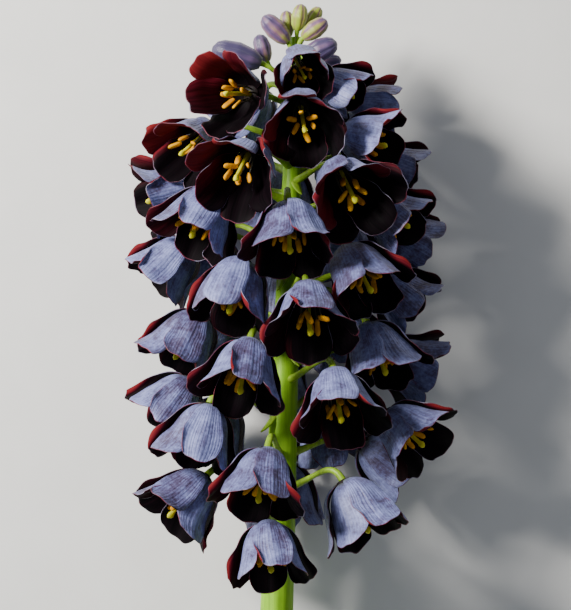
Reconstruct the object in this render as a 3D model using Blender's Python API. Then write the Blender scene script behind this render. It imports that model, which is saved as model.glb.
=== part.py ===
"""A cut flower spike of Persian fritillary, lying on its side.

The stem lies along Y with its tip at +Y. The dark bells hang towards the cut end on arched
stalks, and the lowest of them rest on the surface at Z = 0. Built in metres.
"""

import math
import random

import bmesh
import bpy
from mathutils import Matrix, Vector
from mathutils.bvhtree import BVHTree

MM = 0.001

# The stem leans a little to +X on its way up, and thins faster towards its tip.
STEM_BOTTOM_X = -4.0
STEM_TOP_X = 3.8
STEM_LENGTH = 227.0
STEM_RADIUS_AT_CUT = 5.7
STEM_RADIUS_AT_TIP = 1.9
STEM_TAPER = 1.6
STEM_SIDES = 10
STEM_STEPS = 10

# A bell's six tepals in two layers, for a bell of size 1. Angles are measured from its axis.
TEPALS = 6
TEPAL_LENGTH = 25.0
TEPAL_WIDTH = 15.0
BLADE = 0.7
LAYER_STEP = 0.8
ROOT_RADIUS = 2.3
ROOT_DEPTH = 1.5
SHOULDER_ANGLE = 80.0
WALL_ANGLE = 17.0
SHOULDER_END = 0.45
SHOULDER_POWER = 1.5
LIP_POWER = 1.6
PROFILE_STEPS = 60
CLAW_SHARE = 0.25
SIDE_POWER = 0.9
WIDEST_AT = 0.68
TIP_POWER = 2.6
CLAW_SPREAD = 25.0
LIP_SPREAD = 8.0

# The outer layer's width and how much flatter than the bell it bends, then the inner layer's, and
# the rows of points along a tepal.
OUTER_SHARE, INNER_SHARE = 0.96, 1.04
OUTER_BEND, INNER_BEND = 1.3, 0.95
OUTER_ROWS = (0.2, 0.52, 0.88)
INNER_ROWS = (0.4, 0.86)

OVARY_RADIUS = 1.1
STYLE_RADIUS = 0.8
STYLE_LENGTH = 19.5
ANTHER_OUT = 4.2
ANTHER_DEPTH = 11.5
ANTHER_LENGTH = 4.5
ANTHER_RADIUS = 1.0

# Rings of a bud: how far up it, and how wide beside its girth.
BUD_OUTLINE = ((0, 0.4), (0.2, 0.82), (0.5, 1.0), (0.8, 0.78))
BUD_SIDES = 6

# A stalk's radius, how far it first rises, how far below its flower it leaves the stem, and its
# steps. It is thicker at its foot and under its flower, and arches out by a share of its reach.
BELL_STALK = (1.05, 3, 4, 3)
BUD_STALK = (0.8, 1, 5, 2)
STALK_SIDES = 4
FOOT_SHARE, HEAD_SHARE = 1.15, 1.25
ARCH = 0.35
STALK_TURN = 4.0
HIGHEST_FOOT = 3.0
JOINT_GAP = 0.35

# How crowded flowers make room: the gap they keep, how far one moves aside or how many degrees a
# touched tepal closes at a time, and how much readier it is to move up or down than sideways.
# The first rows are the bells that show from above, and they give way less than the others.
BELL_MIDDLE = 9.0
CLEARANCE = 0.4
NUDGE = 0.3
CLOSING = 2
MOST_CLOSED = 40
READY_TO_RISE = 2.5
FRONT_BELLS = 33
FRONT_GIVE = 0.5
ROUNDS = 120

# The bells that carry the spike, and how far above the surface all the others stay.
RESTING = ("bell_36", "bell_38", "bell_46")
REST_GAP = 0.4

# Small pointed leaves under the stalks: how far up the stem, the turn round it from the side
# that shows, and how long.
BRACTS = [
    (62, -35, 9),
    (103, -50, 10),
    (124, 30, 9),
    (150, -25, 10),
    (181, 25, 9),
]
BRACT_WIDTH = 3.0
BRACT_THICKNESS = 0.8
BRACT_LEAN = 35
BRACT_SUNK = 1.5
BRACT_ROWS = ((0, 0.6), (0.45, 1.0))

# One row for each bell: where its root is (across, along, above the stem's line, in mm), how its
# axis swings from the cut end towards +X and tilts up from the surface, its turn about that axis
# (all in degrees), its size, and how far its mouth flares in degrees.
BELLS = [
    (-11, 207, 12, -83, 60, 0, 0.95, 40),
    (3, 216, 11, 25, 50, 20, 0.68, 12),
    (4, 204, 20, 7, 56, -5, 0.93, 40),
    (12, 212, 4, 62, 12, 0, 0.72, 18),
    (20, 204, -5, 82, 0, 0, 0.80, 25),
    (18, 195, 12, 72, 18, 0, 0.88, 35),
    (-25, 196, 6, -46, 40, 0, 0.88, 42),
    (-10, 189, 24, -27, 56, 35, 1.00, 50),
    (16, 182, 22, 28, 50, -15, 1.02, 48),
    (27, 187, -4, 66, 0, 0, 0.85, 30),
    (-29, 178, -4, -70, 10, 0, 0.95, 40),
    (-21, 172, 20, -27, 20, -5, 1.00, 42),
    (2, 172, 31, 3, 28, 30, 1.00, 52),
    (27, 172, 9, 57, 12, 0, 0.88, 35),
    (31, 163, -9, 60, -8, 0, 0.82, 30),
    (-31, 158, 5, -42, 3, -15, 0.90, 34),
    (-14, 155, 22, -18, 20, -15, 1.02, 42),
    (20, 157, 19, 28, 25, -20, 1.00, 42),
    (31, 148, -2, 52, 0, 0, 0.85, 30),
    (7, 144, 30, 4, 34, 5, 1.02, 48),
    (-28, 137, 8, -28, 9, 0, 0.95, 30),
    (-12, 127, 25, -12, 23, 5, 1.02, 46),
    (27, 132, 10, 20, 15, -20, 1.00, 38),
    (-31, 113, 0, -38, 8, 0, 0.89, 32),
    (16, 116, 28, 8, 32, 0, 1.02, 45),
    (33, 102, 6, 50, 22, -20, 0.95, 44),
    (-24, 105, 16, -17, 9, 5, 1.00, 38),
    (-6, 91, 26, -11, 21, 15, 1.00, 42),
    (-26, 82, 8, -42, 12, -20, 1.00, 42),
    (19, 80, 14, 27, 10, 30, 1.02, 25),
    (-6, 67, 20, 5, 22, 5, 0.93, 16),
    (25, 92, -8, 57, -10, 0, 0.90, 35),
    (32, 122, -8, 65, -5, 0, 0.92, 38),
    (-7, 207, -11, -40, -25, 0, 0.82, 28),
    (12, 200, -14, 30, -25, 0, 0.85, 30),
    (-18, 186, -17, -35, -18, 0, 0.90, 30),
    (0, 184, -17, -5, -12, 0, 0.94, 32),
    (17, 170, -17, 22, -12, 0, 0.94, 32),
    (-19, 161, -17, -25, -10, 0, 0.94, 32),
    (-2, 154, -19, -5, -8, 0, 0.96, 32),
    (-20, 136, -17, -30, -10, 0, 0.98, 35),
    (16, 140, -19, 15, -8, 0, 0.96, 32),
    (-3, 123, -19, -5, -8, 0, 0.96, 32),
    (-20, 106, -15, -22, -10, 0, 0.96, 35),
    (12, 104, -18, 12, -10, 0, 0.95, 30),
    (0, 86, -20, 0, -8, 0, 1.00, 38),
]

# One row for each bud: its root, the swing and tilt of its axis as above, its length and girth.
BUDS = [
    (-8, 218, 4, -107, 5, 17, 9.6),
    (1, 225, 4, -136, 5, 12, 7.2),
    (-6, 219, -3, -162, 0, 9.5, 6.0),
    (1, 227, -2, -176, 0, 9, 5.2),
    (4, 229, 2, 170, 10, 9, 5.6),
    (7, 230, -2, 146, 0, 8.5, 5.0),
    (6, 226, 5, 126, 10, 10, 6.4),
    (6, 220, 5, 112, 10, 12, 7.6),
    (9, 219, -6, 94, -5, 10, 5.0),
    (10, 215, -4, 80, -5, 12, 6.4),
    (6, 217, 10, 75, 20, 6, 4.4),
]


def clear_scene():
    for thing in list(bpy.data.objects):
        bpy.data.objects.remove(thing, do_unlink=True)


def surface(name, colour, roughness):
    """A plain matt or waxy finish."""
    material = bpy.data.materials.new(name)
    material.use_nodes = True
    shader = material.node_tree.nodes["Principled BSDF"]
    shader.inputs["Base Color"].default_value = (*colour, 1)
    shader.inputs["Roughness"].default_value = roughness
    shader.inputs["Metallic"].default_value = 0
    return material


def stem_middle(along):
    """The stem's centre line at this distance from the cut end, in mm."""
    share = along / STEM_LENGTH
    return Vector((STEM_BOTTOM_X + (STEM_TOP_X - STEM_BOTTOM_X) * share, along, 0))


def stem_radius(along):
    share = min(max(along / STEM_LENGTH, 0), 1)
    return STEM_RADIUS_AT_CUT + (STEM_RADIUS_AT_TIP - STEM_RADIUS_AT_CUT) * share**STEM_TAPER


def axes(swing, tilt):
    """Across, upper side and forward for a flower that points along these angles."""
    swing = math.radians(swing)
    tilt = math.radians(tilt)
    across = Vector((math.cos(swing), math.sin(swing), 0))
    forward = Vector(
        (
            math.cos(tilt) * math.sin(swing),
            -math.cos(tilt) * math.cos(swing),
            math.sin(tilt),
        )
    )
    return across, across.cross(forward) * -1, forward


def finished(name, mesh, material):
    """An object from a mesh in mm."""
    bmesh.ops.recalc_face_normals(mesh, faces=mesh.faces)
    bmesh.ops.scale(mesh, vec=(MM, MM, MM), verts=mesh.verts)
    data = bpy.data.meshes.new(name)
    mesh.to_mesh(data)
    mesh.free()
    data.materials.append(material)
    thing = bpy.data.objects.new(name, data)
    bpy.context.scene.collection.objects.link(thing)
    return thing


def profile(length, lip):
    """Radius, distance down the axis and lean of a tepal's midline, as a function of t."""
    steps = PROFILE_STEPS
    radius = [ROOT_RADIUS]
    depth = [0.0]
    lean = []
    for i in range(steps + 1):
        t = i / steps
        angle = WALL_ANGLE
        if t < SHOULDER_END:
            angle += (SHOULDER_ANGLE - WALL_ANGLE) * (1 - t / SHOULDER_END) ** SHOULDER_POWER
        else:
            past = (t - SHOULDER_END) / (1 - SHOULDER_END)
            angle += (lip - WALL_ANGLE) * past**LIP_POWER
        lean.append(math.radians(angle))
        radius.append(radius[-1] + math.sin(lean[-1]) * length / steps)
        depth.append(depth[-1] + math.cos(lean[-1]) * length / steps)

    def at(t):
        i = min(int(round(t * steps)), steps)
        return radius[i], depth[i], lean[i]

    return at


def half_width(t, width):
    """Half the tepal's width at t: narrow at its root, widest past the middle, round at its tip."""
    rising = math.sin(math.pi / 2 * min(t / WIDEST_AT, 1)) ** SIDE_POWER
    share = CLAW_SHARE + (1 - CLAW_SHARE) * rising
    if t > WIDEST_AT:
        past = (t - WIDEST_AT) / (1 - WIDEST_AT)
        share *= math.sqrt(max(0, 1 - past**TIP_POWER))
    return share * width / 2


def polar(angle, radius, depth):
    """A point this far from a flower's axis and down it, at an angle from its upper side."""
    return Vector((radius * math.sin(angle), radius * math.cos(angle), depth))


def draw_out(mesh, root, points):
    """New vertices joined to the last ring by a wall, for a limb that grows ring by ring."""
    ring = [mesh.verts.new(point) for point in points]
    for i in range(len(root)):
        j = (i + 1) % len(root)
        mesh.faces.new((root[i], root[j], ring[j], ring[i]))
    return ring


def add_tepal(mesh, root, middle, outer, size, lip, draw):
    """A blade with a midrib: three columns of points on its back and three on its face."""
    length = TEPAL_LENGTH * size * draw.uniform(0.97, 1.03)
    width = TEPAL_WIDTH * size * (OUTER_SHARE if outer else INNER_SHARE)
    spread = draw.uniform(0, LIP_SPREAD) * (1 if outer else -1)
    at = profile(length, lip + spread)
    layer = LAYER_STEP if outer else -LAYER_STEP
    last = root
    for t in OUTER_ROWS if outer else INNER_ROWS:
        radius, depth, lean = at(t)
        bend = radius * (OUTER_BEND if outer else INNER_BEND)
        half = half_width(t, width)
        if t < SHOULDER_END / 2:
            half = min(half, radius * math.radians(CLAW_SPREAD))
        points = []
        for face in (1, -1):
            for side in (-face, 0, face):
                turn = side * half / bend
                out = layer + face * BLADE / 2 - bend * (1 - math.cos(turn))
                middle_point = polar(
                    middle,
                    radius + out * math.cos(lean),
                    depth - out * math.sin(lean) + ROOT_DEPTH / 2,
                )
                across = polar(middle + math.pi / 2, bend * math.sin(turn), 0)
                points.append(middle_point + across)
        last = draw_out(mesh, last, points)
    radius, depth, lean = at(1)
    tips = []
    for face in (1, -1):
        out = layer + face * BLADE / 2
        point = polar(middle, radius + out * math.cos(lean), depth - out * math.sin(lean))
        tips.append(mesh.verts.new(point + Vector((0, 0, ROOT_DEPTH / 2))))
    mesh.faces.new((last[0], last[1], tips[0]))
    mesh.faces.new((last[1], last[2], tips[0]))
    mesh.faces.new((last[3], last[4], tips[1]))
    mesh.faces.new((last[4], last[5], tips[1]))
    mesh.faces.new((last[2], last[3], tips[1], tips[0]))
    mesh.faces.new((last[5], last[0], tips[0], tips[1]))


def add_stamen(mesh, root, middle, size):
    """A filament that swells into its anther, as one slim three-sided spindle."""
    centre = polar(middle, ANTHER_OUT * size, ANTHER_DEPTH * size)
    points = []
    for vert in root:
        offset = vert.co - (root[0].co + root[1].co + root[2].co) / 3
        points.append(centre + offset.normalized() * ANTHER_RADIUS)
    ring = draw_out(mesh, root, points)
    tip = mesh.verts.new(centre + Vector((0, 0, ANTHER_LENGTH * size)))
    for i in range(3):
        mesh.faces.new((ring[i], ring[(i + 1) % 3], tip))


def bell_mesh(name, roll, size, lip, pressed):
    """A bell about +Z, in mm: a root button drawn out into tepals, stamens and a style.

    With it comes the number of the tepal that each face belongs to, or None.
    """
    draw = random.Random(name)
    mesh = bmesh.new()
    upper = []
    lower = []
    for i in range(2 * TEPALS):
        angle = math.radians(roll + 180 / TEPALS * (i - 1))
        upper.append(mesh.verts.new(polar(angle, ROOT_RADIUS, 0)))
        lower.append(mesh.verts.new(polar(angle, ROOT_RADIUS, ROOT_DEPTH)))
    heart = []
    for k in range(TEPALS):
        angle = math.radians(roll + 360 / TEPALS * (k - 0.5))
        heart.append(mesh.verts.new(polar(angle, OVARY_RADIUS, ROOT_DEPTH)))
    mesh.faces.new(upper)
    owners = [None]
    for k in range(TEPALS):
        left = 2 * k
        rib = left + 1
        right = (left + 2) % (2 * TEPALS)
        near, far = heart[k], heart[(k + 1) % TEPALS]
        middle = math.radians(roll + 360 / TEPALS * k)
        root = [upper[left], upper[rib], upper[right], lower[right], lower[rib], lower[left]]
        add_tepal(mesh, root, middle, k % 2 == 0, size, lip - pressed[k], draw)
        owners += [k] * (len(mesh.faces) - len(owners))
        mesh.faces.new((lower[left], lower[rib], near))
        mesh.faces.new((lower[rib], lower[right], far))
        add_stamen(mesh, [lower[rib], far, near], middle, size)
        owners += [None] * (len(mesh.faces) - len(owners))
    style = [
        polar(math.radians(roll + 360 / TEPALS * (k - 0.5)), STYLE_RADIUS, STYLE_LENGTH * size)
        for k in range(TEPALS)
    ]
    mesh.faces.new(draw_out(mesh, heart, style))
    owners += [None] * (len(mesh.faces) - len(owners))
    return mesh, owners


def tube(points, radii, sides, end_way=None):
    """A closed tube with flat ends through these points, the last one square to end_way."""
    mesh = bmesh.new()
    rings = []
    guide = Vector((0.31, 0.17, 0.93))
    for i, point in enumerate(points):
        ahead = points[min(i + 1, len(points) - 1)] - points[max(i - 1, 0)]
        if end_way and i == len(points) - 1:
            ahead = end_way
        ahead.normalize()
        side = ahead.cross(guide).normalized()
        other = ahead.cross(side)
        ring = []
        for k in range(sides):
            turn = 2 * math.pi * k / sides
            offset = side * math.cos(turn) + other * math.sin(turn)
            ring.append(mesh.verts.new(point + offset * radii[i]))
        rings.append(ring)
    for low, high in zip(rings, rings[1:]):
        for k in range(sides):
            n = (k + 1) % sides
            mesh.faces.new((low[k], low[n], high[n], high[k]))
    mesh.faces.new(rings[0])
    mesh.faces.new(rings[-1])
    return mesh


def union(name, pieces, material):
    """One closed body from overlapping pieces."""
    group = bpy.data.collections.new(name + "_pieces")
    bpy.context.scene.collection.children.link(group)
    for piece in pieces[1:]:
        bpy.context.scene.collection.objects.unlink(piece)
        group.objects.link(piece)
    whole = pieces[0]
    join = whole.modifiers.new("join", "BOOLEAN")
    join.operation = "UNION"
    join.operand_type = "COLLECTION"
    join.collection = group
    join.solver = "EXACT"
    with bpy.context.temp_override(object=whole, active_object=whole):
        bpy.ops.object.modifier_apply(modifier=join.name)
    for piece in pieces[1:]:
        bpy.data.objects.remove(piece, do_unlink=True)
    bpy.data.collections.remove(group)
    whole.name = name
    whole.data.materials.clear()
    whole.data.materials.append(material)
    return whole


def bud_mesh(length, girth):
    """A closed bud about +Z, in mm: six sides, swelling to its middle and pointed."""
    sides = BUD_SIDES
    mesh = bmesh.new()
    rings = []
    for t, share in BUD_OUTLINE:
        ring = []
        for k in range(sides):
            ring.append(mesh.verts.new(polar(2 * math.pi * k / sides, share * girth / 2, t * length)))
        rings.append(ring)
    tip = mesh.verts.new((0, 0, length))
    for low, high in zip(rings, rings[1:]):
        for k in range(sides):
            n = (k + 1) % sides
            mesh.faces.new((low[k], low[n], high[n], high[k]))
    for k in range(sides):
        mesh.faces.new((rings[-1][k], rings[-1][(k + 1) % sides], tip))
    mesh.faces.new(rings[0])
    return mesh


class Flower:
    """A bell or a bud on its stalk: where it grows, and how its neighbours have pressed on it."""

    def __init__(self, name, row, give):
        x, y, z, swing, tilt = row[:5]
        self.name = name
        self.root = Vector((x, y, z))
        self.axes = axes(swing, tilt)
        self.shape = row[5:]
        self.give = give
        self.pressed = [0] * TEPALS
        self.grown = None

    def forward(self):
        return self.axes[2]

    def turned(self):
        """The matrix that takes the flower's own axes to those of the stem."""
        return Matrix(self.axes).transposed()

    def middle(self):
        return self.root + self.forward() * self.middle_depth()

    def placed_mesh(self):
        mesh, _ = self.own_mesh()
        bmesh.ops.transform(mesh, matrix=self.turned().to_4x4(), verts=mesh.verts)
        bmesh.ops.translate(mesh, vec=self.root, verts=mesh.verts)
        return mesh

    def stalk_mesh(self):
        return stalk(self.root, self.forward(), *self.stalk_shape)

    def lowest(self):
        mesh = self.placed_mesh()
        height = min(vert.co.z for vert in mesh.verts)
        mesh.free()
        return height

    def touch_tree(self):
        """The grown flower's faces as a search tree, with its points, triangles and owners."""
        if self.grown is None:
            self.grown = grow(*self.own_mesh())
        points, triangles, owners = self.grown
        turned = self.turned()
        placed = [self.root + turned @ point for point in points]
        tree = BVHTree.FromPolygons(placed, triangles, all_triangles=True)
        return tree, placed, triangles, owners

    def close(self, tepals):
        for k in tepals:
            if k is not None and self.pressed[k] < MOST_CLOSED:
                self.pressed[k] += CLOSING
                self.grown = None


class Bell(Flower):
    """An open flower, whose shape is its roll, its size and its lip's flare."""

    stalk_shape = BELL_STALK

    def own_mesh(self):
        return bell_mesh(self.name, *self.shape, self.pressed)

    def middle_depth(self):
        return BELL_MIDDLE * self.shape[1]


class Bud(Flower):
    """A closed flower, whose shape is its length and its girth."""

    stalk_shape = BUD_STALK

    def own_mesh(self):
        mesh = bud_mesh(*self.shape)
        return mesh, [None] * len(mesh.faces)

    def middle_depth(self):
        return self.shape[0] / 2


def grow(mesh, owners):
    """Points and triangles of a mesh made fatter by half the clearance, with each one's owner."""
    bmesh.ops.recalc_face_normals(mesh, faces=mesh.faces)
    mesh.normal_update()
    mesh.verts.index_update()
    mesh.faces.index_update()
    points = [vert.co + vert.normal * CLEARANCE / 2 for vert in mesh.verts]
    triangles = []
    kept = []
    for loops in mesh.calc_loop_triangles():
        triangles.append([loop.vert.index for loop in loops])
        kept.append(owners[loops[0].face.index])
    mesh.free()
    return points, triangles, kept


def tree_of(mesh):
    """The search tree of a mesh that owns nothing."""
    points, triangles, _ = grow(mesh, [None] * len(mesh.faces))
    return BVHTree.FromPolygons(points, triangles, all_triangles=True)


def ease_apart(flowers):
    """Flowers that touch each other, a stalk or the stem move away from it and close, bit by bit."""
    stem = tree_of(stem_tube())
    for _ in range(ROUNDS):
        shapes = [flower.touch_tree() for flower in flowers]
        stalks = [tree_of(flower.stalk_mesh()) for flower in flowers]
        middles = [flower.middle() for flower in flowers]
        moves = [Vector() for _ in flowers]
        closing = [set() for _ in flowers]
        for i, (tree, points, triangles, owners) in enumerate(shapes):
            for j in range(i + 1, len(flowers)):
                hits = tree.overlap(shapes[j][0])
                if hits:
                    way = middles[i] - middles[j]
                    way.z *= READY_TO_RISE
                    way.normalize()
                    moves[i] += way * NUDGE * flowers[i].give
                    moves[j] -= way * NUDGE * flowers[j].give
                    closing[i].update(owners[a] for a, _ in hits)
                    closing[j].update(shapes[j][3][b] for _, b in hits)
            for j, other in enumerate(stalks):
                hits = tree.overlap(other) if j != i else []
                if hits:
                    touched = [points[triangles[a][0]] for a, _ in hits]
                    way = middles[i] - sum(touched, Vector()) / len(touched)
                    way.normalize()
                    moves[i] += way * NUDGE * flowers[i].give
                    moves[j] -= way * NUDGE * flowers[j].give / 2
                    closing[i].update(owners[a] for a, _ in hits)
            if tree.overlap(stem):
                way = middles[i] - stem_middle(middles[i].y)
                moves[i] += way.normalized() * NUDGE
        if not any(move.length for move in moves):
            break
        for flower, move, tepals in zip(flowers, moves, closing):
            flower.root += move
            flower.close(tepals)


def stalk(root, forward, radius, rise, drop, steps):
    """A stalk that leaves the stem, arches up and out, and turns down into its flower."""
    along = min(root.y - drop, STEM_LENGTH - HIGHEST_FOOT)
    start = stem_middle(along)
    out = Vector((root.x - start.x, 0, root.z))
    reach = out.length
    out.normalize()
    end = root - forward * JOINT_GAP
    first = start + out * (stem_radius(along) + ARCH * reach) + Vector((0, rise, 0))
    second = end - forward * ARCH * (reach + STALK_TURN)
    points = []
    for i in range(steps + 1):
        t = i / steps
        a, b, c, d = (1 - t) ** 3, 3 * t * (1 - t) ** 2, 3 * t * t * (1 - t), t**3
        points.append(start * a + first * b + second * c + end * d)
    radii = [radius * FOOT_SHARE] + [radius] * (steps - 1) + [radius * HEAD_SHARE]
    return tube(points, radii, STALK_SIDES, forward)


def stem_tube():
    """The bare stem from its cut end to its tip."""
    points = [stem_middle(STEM_LENGTH * i / STEM_STEPS) for i in range(STEM_STEPS + 1)]
    radii = [stem_radius(point.y) for point in points]
    return tube(points, radii, STEM_SIDES)


def bract_mesh(along, turn, length):
    """A narrow four-sided leaf that stands out from the stem and ends in a point."""
    turn = math.radians(turn)
    lean = math.radians(BRACT_LEAN)
    out = Vector((math.sin(turn), 0, math.cos(turn)))
    side = Vector((math.cos(turn), 0, -math.sin(turn)))
    way = out * math.sin(lean) + Vector((0, -math.cos(lean), 0))
    thick = side.cross(way)
    root = stem_middle(along) + out * (stem_radius(along) - BRACT_SUNK)
    mesh = bmesh.new()
    rings = []
    for t, share in BRACT_ROWS:
        middle = root + way * t * length
        ring = []
        for a, b in ((1, 0), (0, 1), (-1, 0), (0, -1)):
            offset = side * a * share * BRACT_WIDTH / 2 + thick * b * BRACT_THICKNESS / 2
            ring.append(mesh.verts.new(middle + offset))
        rings.append(ring)
    low, high = rings
    tip = mesh.verts.new(root + way * length)
    mesh.faces.new(low)
    for k in range(4):
        n = (k + 1) % 4
        mesh.faces.new((low[k], low[n], high[n], high[k]))
        mesh.faces.new((high[k], high[n], tip))
    return mesh


def build_stem(flowers, material):
    meshes = [stem_tube()]
    for row in BRACTS:
        meshes.append(bract_mesh(*row))
    for flower in flowers:
        meshes.append(flower.stalk_mesh())
    pieces = []
    for i, mesh in enumerate(meshes):
        pieces.append(finished(f"stem_{i}", mesh, material))
    return union("stem", pieces, material)


def let_down(flowers):
    """Lowers the resting bells until they alone reach the surface."""
    surface_height = min(flower.lowest() for flower in flowers) - REST_GAP
    for flower in flowers:
        if flower.name in RESTING:
            flower.root.z -= flower.lowest() - surface_height


def lay_down(things):
    """Centres the whole spike about the world's Z axis, with its lowest point at Z = 0."""
    corners = [vert.co for thing in things for vert in thing.data.vertices]
    low = Vector([min(point[i] for point in corners) for i in range(3)])
    high = Vector([max(point[i] for point in corners) for i in range(3)])
    middle = (low + high) / 2
    for thing in things:
        thing.data.transform(Matrix.Translation((-middle.x, -middle.y, -low.z)))


def build():
    clear_scene()
    plum = surface("plum tepals", (0.10, 0.09, 0.17), 0.5)
    green = surface("green stem", (0.33, 0.47, 0.06), 0.5)
    mauve = surface("mauve and green bud", (0.30, 0.22, 0.30), 0.5)
    flowers = []
    for index, row in enumerate(BELLS, 1):
        give = FRONT_GIVE if index <= FRONT_BELLS else 1
        flowers.append(Bell(f"bell_{index:02d}", row, give))
    for index, row in enumerate(BUDS, 1):
        flowers.append(Bud(f"bud_{index:02d}", row, 1))
    ease_apart(flowers)
    let_down(flowers)
    things = []
    for flower in flowers:
        material = plum if isinstance(flower, Bell) else mauve
        things.append(finished(flower.name, flower.placed_mesh(), material))
    things.append(build_stem(flowers, green))
    lay_down(things)


build()
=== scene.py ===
import math
import random

import bmesh
import bpy
import numpy as np
from mathutils import Matrix, Vector


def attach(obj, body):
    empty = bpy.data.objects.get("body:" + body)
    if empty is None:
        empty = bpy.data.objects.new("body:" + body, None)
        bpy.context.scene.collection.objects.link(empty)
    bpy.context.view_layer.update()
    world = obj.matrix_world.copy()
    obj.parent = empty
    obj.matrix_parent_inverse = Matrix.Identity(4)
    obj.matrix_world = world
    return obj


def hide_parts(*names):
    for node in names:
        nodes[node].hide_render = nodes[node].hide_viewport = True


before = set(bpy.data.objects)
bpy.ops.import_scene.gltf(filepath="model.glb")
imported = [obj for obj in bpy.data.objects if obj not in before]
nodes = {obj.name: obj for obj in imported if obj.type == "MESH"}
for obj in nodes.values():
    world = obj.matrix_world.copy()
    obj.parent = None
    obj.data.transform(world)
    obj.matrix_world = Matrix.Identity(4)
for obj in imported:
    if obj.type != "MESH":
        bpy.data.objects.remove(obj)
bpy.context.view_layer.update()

MM = 0.001
scene = bpy.context.scene


# The camera
# The spike lies on its side and is seen from straight above, tip away from the viewer, so that the
# picture has the photograph's framing. The stem's foot in the solid gives the place of its line.
STEM_FOOT_X = -4.0
FOOT_SLANT = 0.6
CUT_BELOW_FRAME = 36.0
PHOTO_WIDTH, PHOTO_HEIGHT = 571, 610
PIXELS_PER_MM = 3.0
STEM_PIXEL_X = 285
CAMERA_HEIGHT = 1300.0

corners = [vert.co / MM for vert in nodes["stem"].data.vertices]
foot = [point for point in corners if point.y < min(p.y for p in corners) + FOOT_SLANT]
foot_low = Vector([min(point[i] for point in foot) for i in range(3)])
foot_high = Vector([max(point[i] for point in foot) for i in range(3)])
stem_line = (foot_low + foot_high) / 2 - Vector((STEM_FOOT_X, 0, 0))

view_centre = stem_line + Vector(
    (
        (PHOTO_WIDTH / 2 - STEM_PIXEL_X) / PIXELS_PER_MM,
        PHOTO_HEIGHT / 2 / PIXELS_PER_MM + CUT_BELOW_FRAME,
        CAMERA_HEIGHT,
    )
)
camera = bpy.data.objects.new("camera", bpy.data.cameras.new("camera"))
scene.collection.objects.link(camera)
camera.data.sensor_fit = "HORIZONTAL"
camera.data.sensor_width = 36
camera.data.lens = 36 * CAMERA_HEIGHT / (PHOTO_WIDTH / PIXELS_PER_MM)
camera.location = view_centre * MM
scene.camera = camera


# The stem
# A fleshy green shoot, cut straight across at its foot, that thins towards the buds. Its waxy skin
# has fine lengthwise fibres, and it is paler and yellower towards the tip.
STEM_TIP_X = 3.8
STEM_LENGTH = 227.0
STEM_RADIUS_AT_CUT = 5.7
STEM_RADIUS_AT_TIP = 1.9
STEM_TAPER = 1.6


def stem_middle(along):
    """The middle of the stem at a height above its cut, in mm on its own line."""
    share = along / STEM_LENGTH
    return Vector((STEM_FOOT_X + (STEM_TIP_X - STEM_FOOT_X) * share, along, 0))


def stem_radius(along):
    share = min(max(along / STEM_LENGTH, 0), 1)
    return STEM_RADIUS_AT_CUT + (STEM_RADIUS_AT_TIP - STEM_RADIUS_AT_CUT) * share**STEM_TAPER


def shoots(name, runs, sides, material):
    """Round shoots through runs of (point, radius) in mm on the stem's line, as one smooth piece."""
    curve = bpy.data.curves.new(name, "CURVE")
    curve.dimensions = "3D"
    curve.bevel_depth = 1
    curve.bevel_resolution = sides // 2 - 2
    curve.use_fill_caps = True
    for run in runs:
        spline = curve.splines.new("POLY")
        spline.points.add(len(run) - 1)
        for knot, (point, radius) in zip(spline.points, run):
            knot.co = (*((point + stem_line) * MM), 1)
            knot.radius = radius * MM
    piece = bpy.data.objects.new(name, curve)
    scene.collection.objects.link(piece)
    bpy.ops.object.select_all(action="DESELECT")
    piece.select_set(True)
    bpy.context.view_layer.objects.active = piece
    bpy.ops.object.convert(target="MESH")
    piece.data.materials.clear()
    piece.data.materials.append(material)
    piece.data.polygons.foreach_set("use_smooth", [True] * len(piece.data.polygons))
    return piece


def plain_material(name, roughness):
    """A material with its shader, and a way to add a node to it."""
    material = bpy.data.materials.new(name)
    material.use_nodes = True
    tree = material.node_tree
    shader = tree.nodes["Principled BSDF"]
    shader.inputs["Roughness"].default_value = roughness

    def add(kind, **values):
        node = tree.nodes.new("ShaderNode" + kind)
        for key, value in values.items():
            if hasattr(node, key):
                setattr(node, key, value)
            else:
                node.inputs[key.replace("_", " ")].default_value = value
        return node

    return material, shader, add, tree.links.new


def ramp(add, *stops):
    """Colours that run into each other from stop to stop."""
    node = add("ValToRGB")
    for i, (place, colour) in enumerate(stops):
        stop = node.color_ramp.elements[i] if i < 2 else node.color_ramp.elements.new(place)
        stop.position = place
        stop.color = (*colour, 1)
    return node


def green_skin(name, dark, middle, light):
    """Waxy green with lengthwise fibres and soft cloudy patches."""
    material, shader, add, link = plain_material(name, 0.42)
    place = add("TexCoord")
    stretch = add("Mapping")
    stretch.inputs["Scale"].default_value = (900, 60, 900)
    fibres = add("TexNoise", Scale=1, Detail=3)
    clouds = add("TexNoise", Scale=90, Detail=4)
    both = add("Math", operation="ADD")
    half = add("Math", operation="MULTIPLY")
    half.inputs[1].default_value = 0.5
    tone = ramp(add, (0.3, dark), (0.5, middle), (0.72, light))
    lines = add("Bump", Strength=0.25, Distance=0.0004)
    link(place.outputs["Object"], stretch.inputs["Vector"])
    link(stretch.outputs["Vector"], fibres.inputs["Vector"])
    link(place.outputs["Object"], clouds.inputs["Vector"])
    link(fibres.outputs["Fac"], both.inputs[0])
    link(clouds.outputs["Fac"], both.inputs[1])
    link(both.outputs[0], half.inputs[0])
    link(half.outputs[0], tone.inputs["Fac"])
    link(tone.outputs["Color"], shader.inputs["Base Color"])
    link(fibres.outputs["Fac"], lines.inputs["Height"])
    link(lines.outputs["Normal"], shader.inputs["Normal"])
    shader.inputs["Subsurface Weight"].default_value = 0.15
    shader.inputs["Subsurface Radius"].default_value = (0.002, 0.003, 0.001)
    shader.inputs["Subsurface Scale"].default_value = 1.0
    shader.inputs["Specular IOR Level"].default_value = 0.3
    return material


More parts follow.
